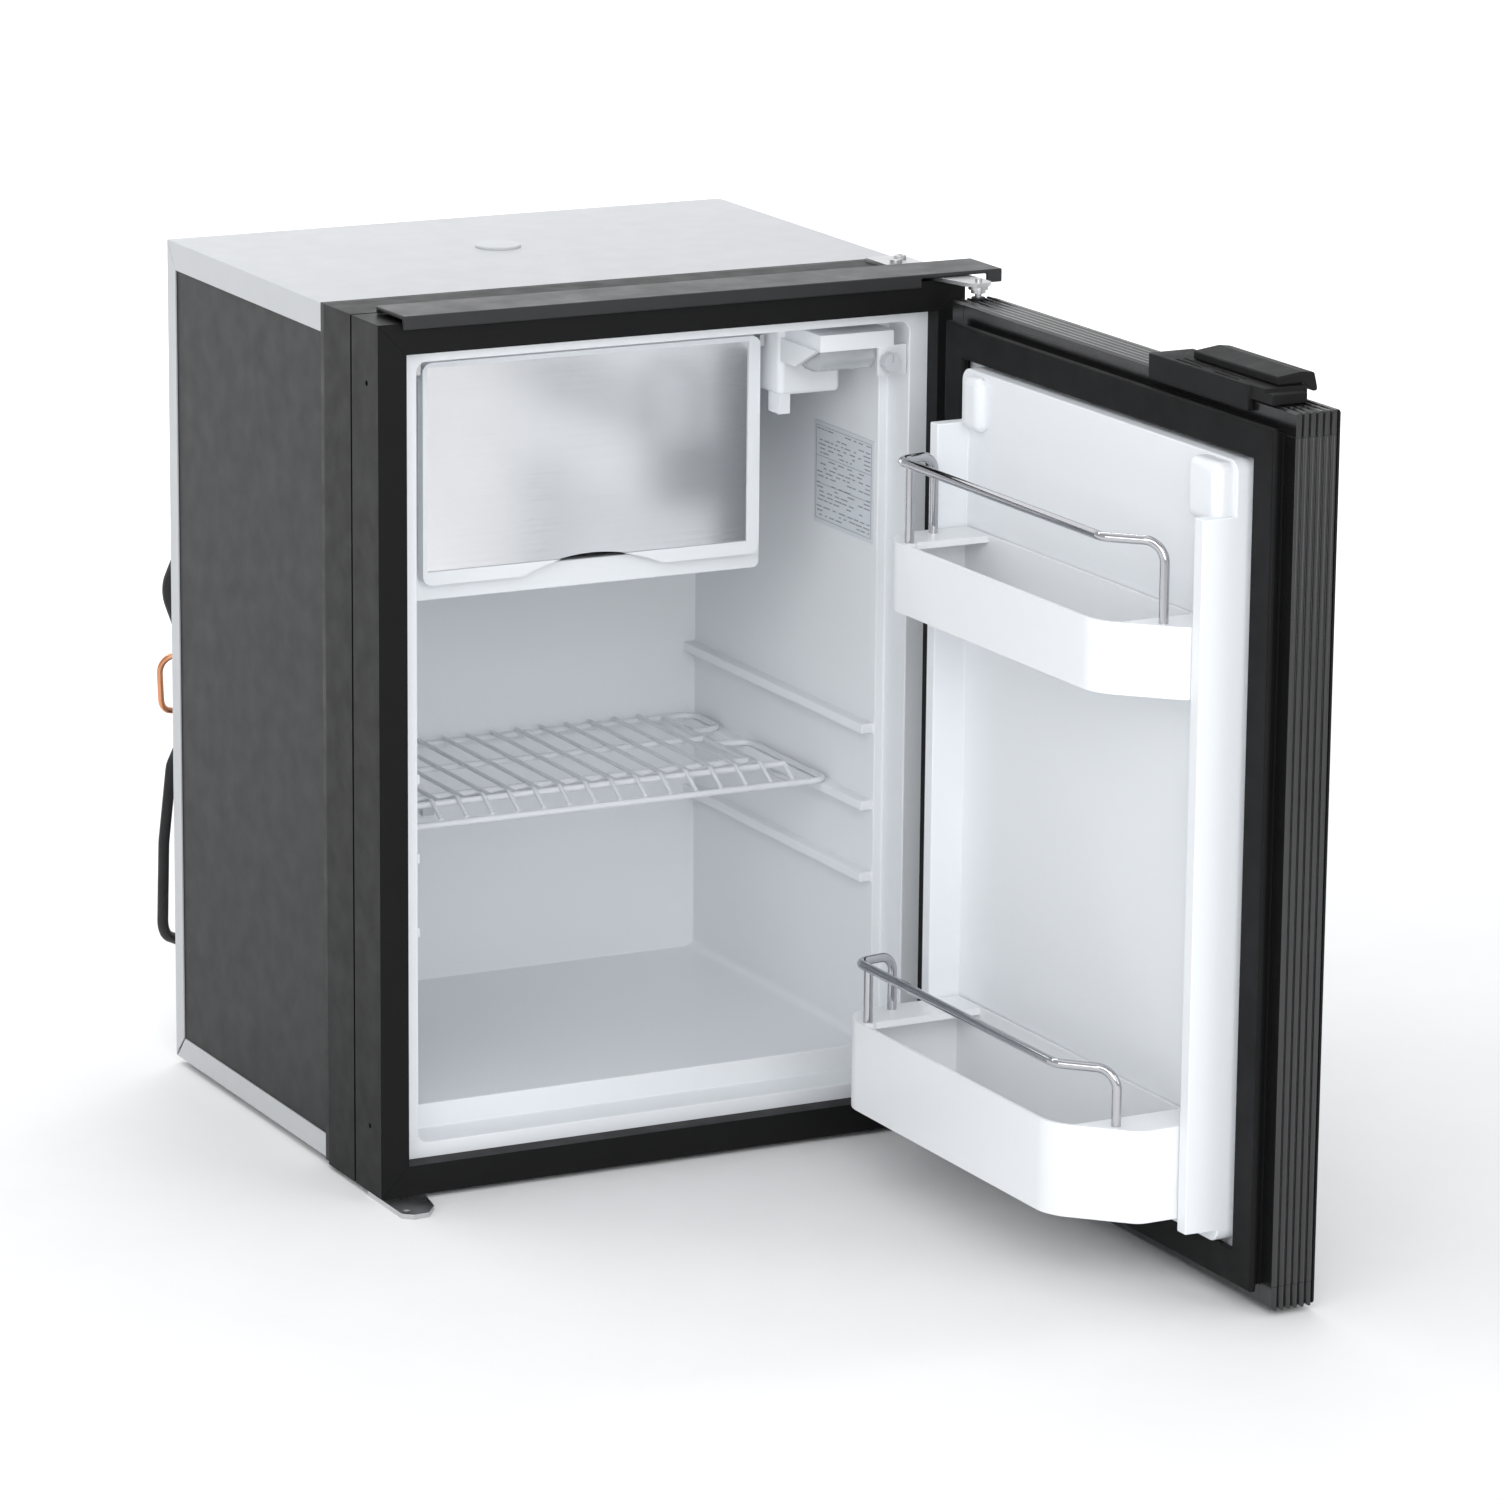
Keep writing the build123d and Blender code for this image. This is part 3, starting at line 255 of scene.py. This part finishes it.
FINISH = {
    "top_panel": "shell", "back_panel": "shell", "bottom_panel": "shell",
    "left_side_panel": "side", "right_side_panel": "side",
    "insulation_foam": "foam", "door_foam": "foam",
    "inner_liner": "white", "door_liner": "white",
    "frame_left_stile": "frame", "frame_right_stile": "frame", "frame_top_rail": "frame",
    "frame_bottom_rail": "frame", "top_cap": "cap", "filler_plug": "plug",
    "upper_hinge_plate": "zinc", "hinge_screws": "zinc", "hinge_pins": "zinc", "bracket_screws": "zinc",
    "hinge_bracket_left": "zinc", "hinge_bracket_right": "zinc",
    "evaporator_box": "alu", "freezer_bezel": "white", "flap_frame": "white", "flap_panel": "brushed",
    "flap_pins": "zinc", "thermostat_housing": "white", "sensor_clip": "knob",
    "lamp_lens": "lens", "lamp_bulb": "bulb", "thermostat_knob": "knob", "rating_label": "film",
    "wire_shelf": "coat", "door_front_panel": "door_black", "door_gasket": "gasket",
    "door_latch_edge": "ribs", "door_hinge_edge": "ribs", "door_top_edge": "ribs",
    "door_bottom_edge": "ribs", "door_corner_caps": "ribs", "door_bushes": "nylon",
    "latch_base": "moulded_black", "latch_lever": "moulded_black",
    "upper_bin": "bin", "lower_bin": "bin", "upper_rail": "chrome", "lower_rail": "chrome",
    "unit_tray": "galvanised", "rear_pads": "rubber", "compressor_grommets": "rubber",
    "compressor": "black_paint", "control_box": "moulded_black", "fan_shroud": "moulded_black",
    "fan_rotor": "moulded_black", "condenser": "galvanised", "filter_drier": "copper",
    "suction_line": "copper", "copper_line": "copper", "wiring_loop": "sleeve", "sleeve_bundle": "sleeve",
}


def paint_nodes():
    """Gives every CAD node its one material."""
    for name, node in frame["nodes"].items():
        node.data.materials.clear()
        node.data.materials.append(MAT[FINISH[name]])


# ------------------------------------------------------------------ pieces

WELD = 2e-5             # metres: points closer than this are one point
FLAT_ANGLE = 0.8        # degrees: faces that meet flatter than this become one face
EDGE_ANGLE = 30.0       # degrees: edges sharper than this are rounded
EDGE_SEGMENTS = 3
SMOOTH_ANGLE = 35.0     # degrees: edges flatter than this shade as smooth
SMOOTH_ROUNDED = 40.0   # the same, where the edges are rounded


def boxes_mesh(name, boxes, matrix):
    """One mesh of separate boxes, each given by its low and its high corner in millimetres."""
    bm = bmesh.new()
    for low, high in boxes:
        low = Vector(low)
        high = Vector(high)
        made = bmesh.ops.create_cube(bm, size=1.0)
        for v in made["verts"]:
            v.co = Vector((low[i] + (v.co[i] + 0.5) * (high[i] - low[i]) for i in range(3)))
    bm.transform(matrix)
    data = bpy.data.meshes.new(name)
    bm.to_mesh(data)
    bm.free()
    return data


def add_object(name, mesh_data, material, body):
    """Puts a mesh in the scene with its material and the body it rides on."""
    obj = bpy.data.objects.new(name, mesh_data)
    bpy.context.scene.collection.objects.link(obj)
    obj.data.materials.clear()
    obj.data.materials.append(MAT[material])
    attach(obj, body)
    return obj


def smooth_by_angle(obj, angle):
    mesh = obj.data
    mesh.polygons.foreach_set("use_smooth", [True] * len(mesh.polygons))
    mesh.set_sharp_from_angle(angle=math.radians(angle))


def round_edges(obj, width, segments):
    """Rounds a piece's sharp edges; the width is in millimetres."""
    bevel = obj.modifiers.new("edge", "BEVEL")
    bevel.width = width * MM
    bevel.segments = segments
    bevel.limit_method = "ANGLE"
    bevel.angle_limit = math.radians(EDGE_ANGLE)
    bevel.use_clamp_overlap = True
    smooth_by_angle(obj, SMOOTH_ROUNDED)


def soften(node, width):
    """A copy of a CAD node with slightly rounded edges, standing for it."""
    data = frame["nodes"][node].data.copy()
    bm = bmesh.new()
    bm.from_mesh(data)
    bmesh.ops.remove_doubles(bm, verts=bm.verts, dist=WELD)
    bmesh.ops.dissolve_limit(bm, angle_limit=math.radians(FLAT_ANGLE), verts=bm.verts, edges=bm.edges)
    bm.to_mesh(data)
    bm.free()
    obj = add_object(node + "_piece", data, FINISH[node], BODY_OF[node])
    round_edges(obj, width, EDGE_SEGMENTS)
    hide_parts(node)


# The nodes with rounded edges, and the width of the rounding in millimetres.
SOFT_EDGES = {
    "top_cap": 0.7, "frame_left_stile": 0.5, "frame_right_stile": 0.5, "frame_top_rail": 0.5,
    "frame_bottom_rail": 0.5, "hinge_bracket_left": 0.7, "hinge_bracket_right": 0.7,
    "flap_frame": 1.2, "freezer_bezel": 1.0, "thermostat_housing": 2.0,
    "latch_base": 0.7, "latch_lever": 0.9, "door_gasket": 1.4, "upper_bin": 0.8, "lower_bin": 0.8,
    "upper_hinge_plate": 0.4, "control_box": 1.0, "door_liner": 3.0, "door_latch_edge": 0.45,
    "door_hinge_edge": 0.45, "door_top_edge": 0.45, "door_bottom_edge": 0.45, "door_corner_caps": 0.45,
    "door_front_panel": 0.4, "inner_liner": 1.6, "lamp_lens": 0.5,
}


def paint_and_soften():
    """Paints the CAD nodes, rounds those that need it and smooths the rest."""
    paint_nodes()
    for node, width in SOFT_EDGES.items():
        soften(node, width)
    for node in frame["nodes"].values():
        if not node.hide_render:
            smooth_by_angle(node, SMOOTH_ANGLE)


# ------------------------------------------------------------------ door liner

PAD_ROOT = 2.0
PAD_ROUNDING = 5.5
PAD_SEGMENTS = 6


def pad(left, right, low, high, rise):
    """A pad's two corners, from its root in the liner to the face that stands proud of it."""
    return (left, PAD_ROOT, low), (right, rise, high)


def liner_ears():
    """The shallow pads moulded above each tower of the door's liner."""
    pads = [
        pad(left=38.5, right=70.0, low=444.0, high=479.0, rise=17.0),
        pad(left=308.0, right=328.0, low=446.0, high=478.0, rise=13.0),
    ]
    data = boxes_mesh("liner_ears", pads, door_matrix())
    ears = add_object("liner_ears", data, "white", "door")
    round_edges(ears, PAD_ROUNDING, PAD_SEGMENTS)


# ------------------------------------------------------------------ gasket dart

def gasket_dart():
    """The black foot of the gasket that closes the seam between the liner's edge and the door's ribs."""
    left, right, low, high = 12.4, 367.6, 13.4, 498.6
    outer_y, inner_y = -9.95, -8.2
    wide = 1.5
    strips = [
        ((left, outer_y, low), (left + wide, inner_y, high)),
        ((right - wide, outer_y, low), (right, inner_y, high)),
        ((left + wide, outer_y, low), (right - wide, inner_y, low + wide)),
        ((left + wide, outer_y, high - wide), (right - wide, inner_y, high)),
    ]
    data = boxes_mesh("gasket_dart", strips, door_matrix())
    add_object("gasket_dart", data, "gasket", "door")


# ------------------------------------------------------------------ rating label

BACK_X = 343.45         # the print's back; the label is on the right wall and faces left
INK = 0.10              # the print's thickness
LABEL_Y = (48.0, 117.0)
LABEL_Z = (357.0, 412.0)
ROW_HEIGHT = 0.7
ROW_PITCH = 2.6
BLOCK_PITCH = 4.2       # the wider gap after the first row and after every fifth one that follows
BLOCK_ROWS = 5
RUN = (2.0, 9.0)        # shortest and longest stretch of print
GAP = (1.0, 5.0)
END_SPACE = 2.0
PRINTED = 0.75          # share of the stretches that are printed
DIVIDERS = (395.0, 378.0)
RULE = 0.25
SIDE_RULE = 0.3
SIDE_MARGIN = 1.5
TOP_MARGIN = 1.6
SIDE_TOP = 1.3
FOOT_MARGIN = 1.0


def print_rows():
    """Rows of short stretches with gaps between them, from the top down."""
    boxes = []
    front, back = LABEL_Y
    foot, z = LABEL_Z
    row = 0
    while z > foot:
        y = front
        while y < back - END_SPACE:
            run = random.uniform(*RUN)
            if random.random() < PRINTED:
                boxes.append(((BACK_X - INK, y, z - ROW_HEIGHT), (BACK_X, min(y + run, back), z)))
            y += run + random.uniform(*GAP)
        z -= ROW_PITCH if row % BLOCK_ROWS else BLOCK_PITCH
        row += 1
    return boxes


def label_border():
    """The rules round the print and the two across it."""
    front, back = LABEL_Y
    foot, top = LABEL_Z
    boxes = []
    for level in (top + TOP_MARGIN, *DIVIDERS, foot - FOOT_MARGIN):
        low = (BACK_X - INK, front - SIDE_MARGIN, level - RULE)
        boxes.append((low, (BACK_X, back + SIDE_MARGIN, level)))
    for edge in (front - SIDE_MARGIN, back + SIDE_MARGIN - SIDE_RULE):
        low = (BACK_X - INK, edge, foot - FOOT_MARGIN)
        boxes.append((low, (BACK_X, edge + SIDE_RULE, top + SIDE_TOP)))
    return boxes


def rating_label_lines():
    """Plain rules standing for print: no lettering."""
    data = boxes_mesh("label_rules", print_rows() + label_border(), cabinet_matrix())
    add_object("label_rules", data, "ink", "cabinet")


# ------------------------------------------------------------------ stage

FLOOR_HALF_WIDTH = 14.0
BACK_CURVE = [(3.0, 0.0), (4.2, 0.15), (5.2, 0.8), (5.8, 2.0), (6.0, 9.0)]
SKY = (0.95, 0.97, 1.0, 1.0)
SKY_STRENGTH = 0.62
AIM = (0.0, 0.0, 0.25)

# Each lamp's place, the point it faces, its width and height, all in metres, and its power in watts.
LAMPS = {
    "key": ((-1.6, -2.4, 2.2), AIM, (1.6, 1.6), 19.0),
    "fill": ((1.8, -2.6, 1.2), (0.1, 0.0, 0.25), (1.6, 1.6), 12.0),
    "top": ((0.0, 0.4, 2.8), AIM, (2.4, 2.4), 9.0),
    "inside": ((-0.35, -1.7, 0.75), (0.0, 0.1, 0.25), (0.9, 0.9), 9.0),
    "door_side": ((-1.9, -1.2, 0.9), (0.15, -0.25, 0.25), (1.0, 1.0), 6.5),
    "backdrop": ((0.0, 2.2, 3.6), (0.0, 5.0, 0.6), (6.0, 1.5), 260.0),
}


def area_light(name, where, target, size, power):
    """A white rectangular lamp that faces its target."""
    data = bpy.data.lights.new(name, "AREA")
    data.shape = "RECTANGLE"
    data.size, data.size_y = size
    data.energy = power
    light = bpy.data.objects.new(name, data)
    bpy.context.scene.collection.objects.link(light)
    light.location = where
    light.rotation_euler = (Vector(target) - Vector(where)).to_track_quat("-Z", "Y").to_euler()


def backdrop_floor():
    """A pale floor that curves up into a wall far behind the object."""
    profile = [(-FLOOR_HALF_WIDTH, 0.0)] + BACK_CURVE
    bm = bmesh.new()
    rows = [[bm.verts.new((x, y, z)) for y, z in profile] for x in (-FLOOR_HALF_WIDTH, FLOOR_HALF_WIDTH)]
    for i in range(len(profile) - 1):
        bm.faces.new((rows[0][i], rows[0][i + 1], rows[1][i + 1], rows[1][i]))
    data = bpy.data.meshes.new("floor")
    bm.normal_update()
    bm.to_mesh(data)
    bm.free()
    data.materials.append(finish_of("floor_pale", (0.86, 0.86, 0.86), (0.6, 0.8), grain=300.0, bump=0.02,
                                    mottle=0.01))
    data.polygons.foreach_set("use_smooth", [True] * len(data.polygons))
    floor = bpy.data.objects.new("floor", data)
    bpy.context.scene.collection.objects.link(floor)


def studio():
    """The floor, an even pale sky and the lamps."""
    backdrop_floor()
    world = bpy.data.worlds.new("studio")
    world.use_nodes = True
    sky = world.node_tree.nodes["Background"]
    sky.inputs["Color"].default_value = SKY
    sky.inputs["Strength"].default_value = SKY_STRENGTH
    bpy.context.scene.world = world
    for name, settings in LAMPS.items():
        area_light(name, *settings)
    bpy.context.scene.view_settings.view_transform = "Standard"


# The camera stands back from this point of the cabinet.
CAMERA_AIM = Vector((190.0, 200.0, 260.0))
SENSOR_WIDTH = 36.0     # millimetres, as the focal length is
FOCAL_LENGTH = 163.8
FAR_LIMIT = 60.0        # metres


def camera():
    """A long lens from the front left and a little above. Its distance and slide are in millimetres."""
    azimuth = math.radians(-27.00)
    height = math.radians(14.05)
    roll = math.radians(0.53)
    distance = 4193.0
    slide_across, slide_up = 134.6, -52.0
    back = Vector((math.sin(azimuth) * math.cos(height), -math.cos(azimuth) * math.cos(height),
                   math.sin(height)))
    right = (-back).cross(Vector((0, 0, 1))).normalized()
    up = right.cross(-back)
    across = right * math.cos(roll) + up * math.sin(roll)
    upward = up * math.cos(roll) - right * math.sin(roll)
    place = CAMERA_AIM + back * distance + across * slide_across + upward * slide_up
    data = bpy.data.cameras.new("camera")
    data.sensor_width = SENSOR_WIDTH
    data.lens = FOCAL_LENGTH
    data.clip_end = FAR_LIMIT
    cam = bpy.data.objects.new("camera", data)
    bpy.context.scene.collection.objects.link(cam)
    axes = Matrix((across, upward, back)).transposed().to_4x4()
    cam.matrix_world = Matrix.Translation(ORIGIN + place * MM) @ axes
    bpy.context.scene.camera = cam


camera()
studio()
paint_and_soften()
liner_ears()
gasket_dart()
rating_label_lines()
